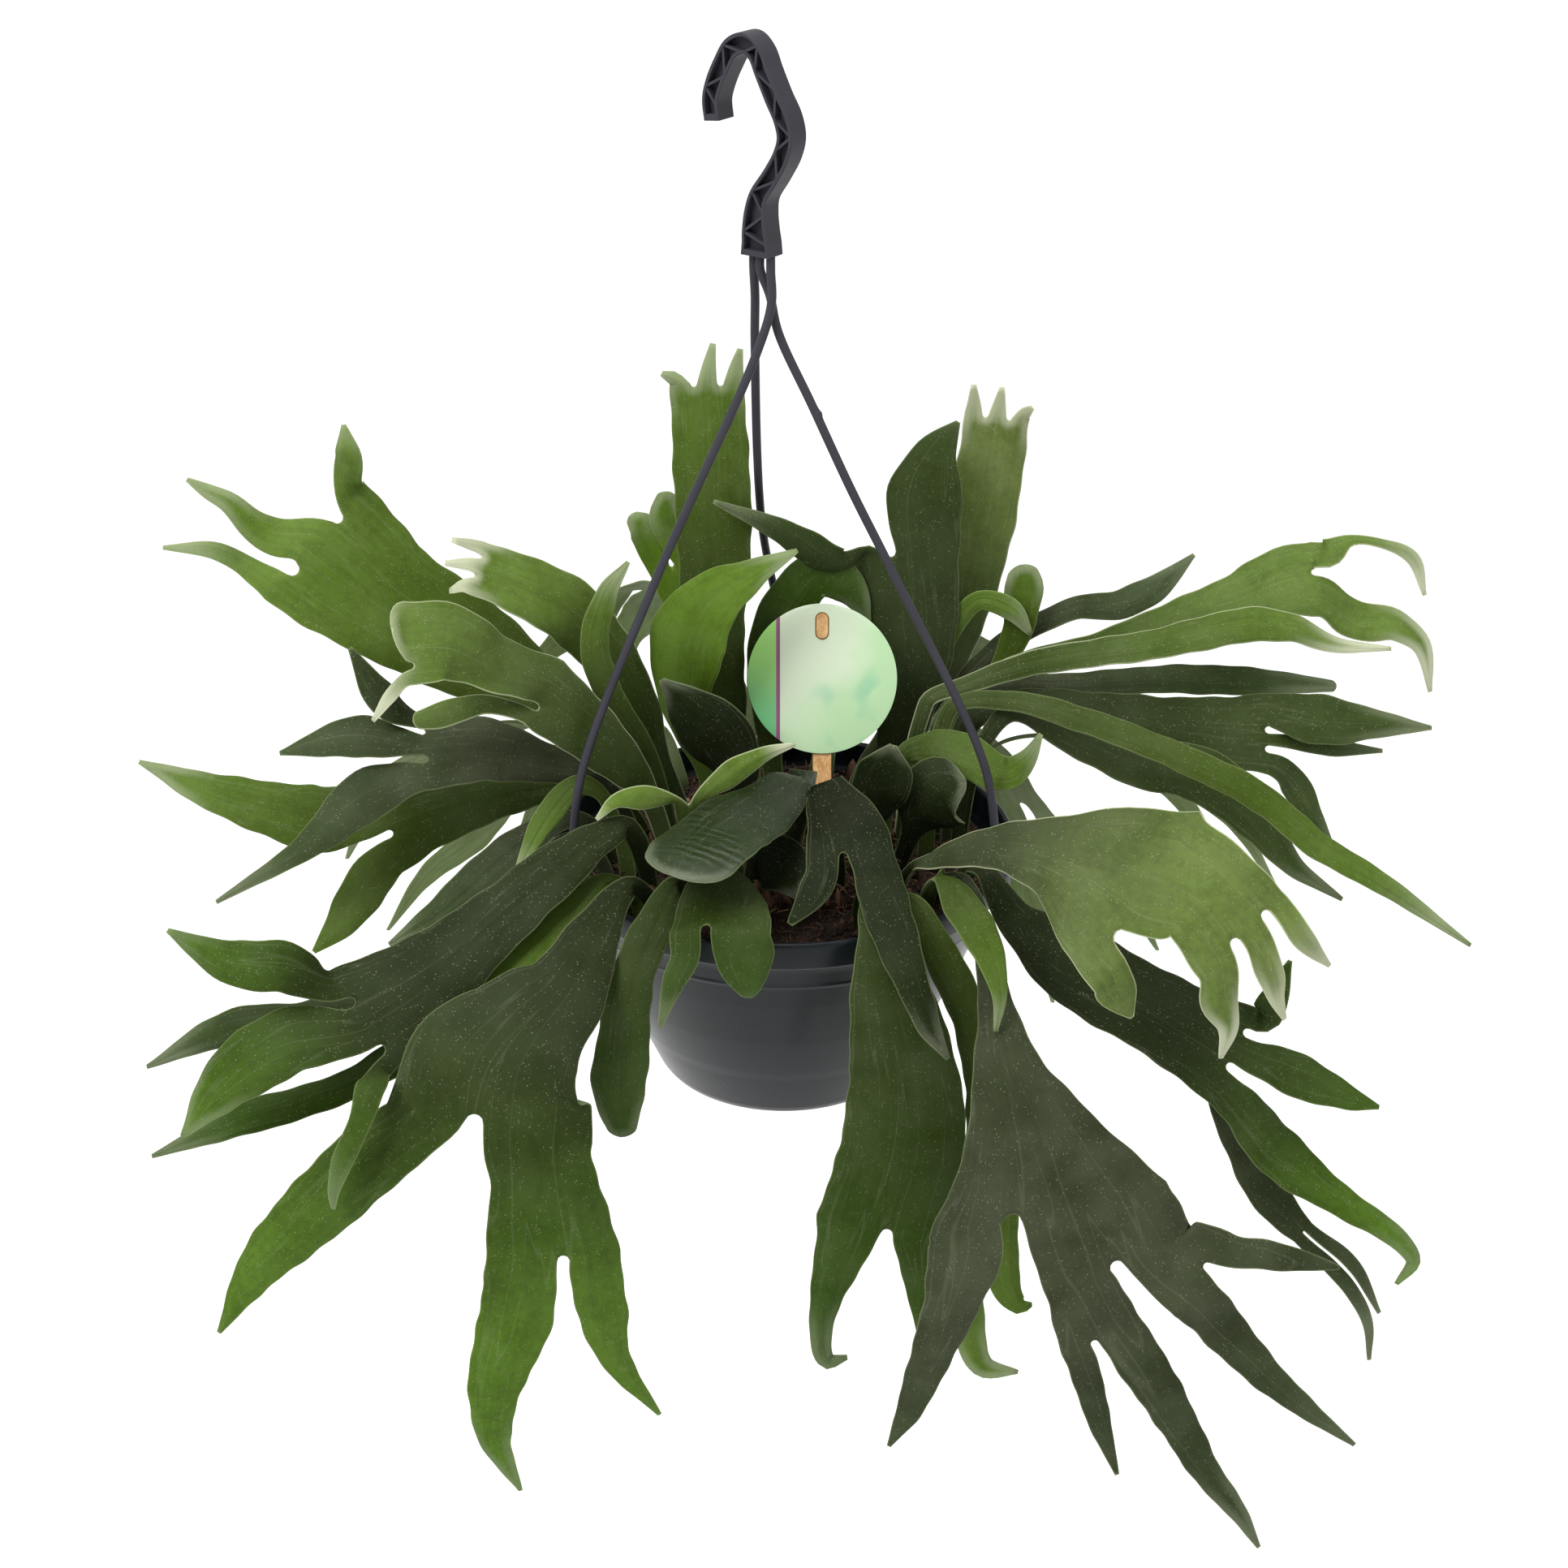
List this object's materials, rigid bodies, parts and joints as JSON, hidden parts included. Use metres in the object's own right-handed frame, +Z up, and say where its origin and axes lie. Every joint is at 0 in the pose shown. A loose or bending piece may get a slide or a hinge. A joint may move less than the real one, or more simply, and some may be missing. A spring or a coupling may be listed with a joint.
{
  "type": "staghorn fern in a hanging pot",
  "caption": "Staghorn fern with forked, arching fronds growing in soil in a round plastic pot hung from a moulded hook by straps, with a round plant label on a stick.",
  "frame": {"origin": "centre of the pot's underside", "axes": "+Z up along the pot's axis, +X to the right of the side that the label faces, -Y towards that side"},
  "size_m": [0.5002, 0.3547, 0.5375],
  "materials": {
    "pot_plastic": "satin",
    "hanger_plastic": "satin",
    "label_card": "satin",
    "label_wood": "matte",
    "frond": "satin, felted",
    "soil": "rough"
  },
  "bodies": {
    "root": {"pot": "pot_plastic", "hanger_hook": "hanger_plastic", "strap_left": "hanger_plastic", "strap_right": "hanger_plastic", "strap_back": "hanger_plastic", "label_disc": "label_card", "label_stick": "label_wood", "frond_tall_left": "frond", "frond_small_left_back": "frond", "frond_tall_right_pale": "frond", "frond_twin_right_dark": "frond", "frond_bright_curled": "frond", "frond_narrow_left": "frond", "frond_arc_behind_label": "frond", "frond_dark_centre": "frond", "frond_two_lobed_behind": "frond", "frond_glossy_wide": "frond", "frond_front_two_prong": "frond", "frond_centre_claw": "frond", "frond_front_hanging": "frond", "frond_front_right_big": "frond", "frond_hidden_right_of_pot": "frond", "frond_tongue_right": "frond", "frond_pale_right_claws": "frond", "frond_right_lower": "frond", "frond_right_tails": "frond", "frond_right_long_dark": "frond", "frond_right_crossing": "frond", "frond_right_under": "frond", "frond_right_high_two": "frond", "frond_right_high_bright": "frond", "frond_right_grey_flat": "frond", "frond_right_notched": "frond", "frond_right_small_round": "frond", "frond_right_bent_strap": "frond", "frond_right_hooked": "frond", "frond_right_inner_dark": "frond", "frond_inner_dark_right": "frond", "frond_inner_dark_left": "frond", "frond_left_high_three": "frond", "frond_left_ragged_pale": "frond", "frond_left_pale_broad": "frond", "frond_left_mid_grey": "frond", "frond_left_far": "frond", "frond_left_strap_grey": "frond", "frond_left_strap_green": "frond", "frond_left_three_pale": "frond", "frond_left_low_upper": "frond", "frond_left_low_lower": "frond", "frond_front_left_big": "frond", "frond_left_green_between": "frond", "frond_left_hanging": "frond", "frond_back_left_reach": "frond", "frond_back_right_reach": "frond", "frond_back_hanging": "frond", "frond_back_left_hanging": "frond", "frond_back_right_hanging": "frond", "frond_back_left_side": "frond", "frond_back_right_side": "frond", "soil": "soil"}
  },
  "joints": []
}
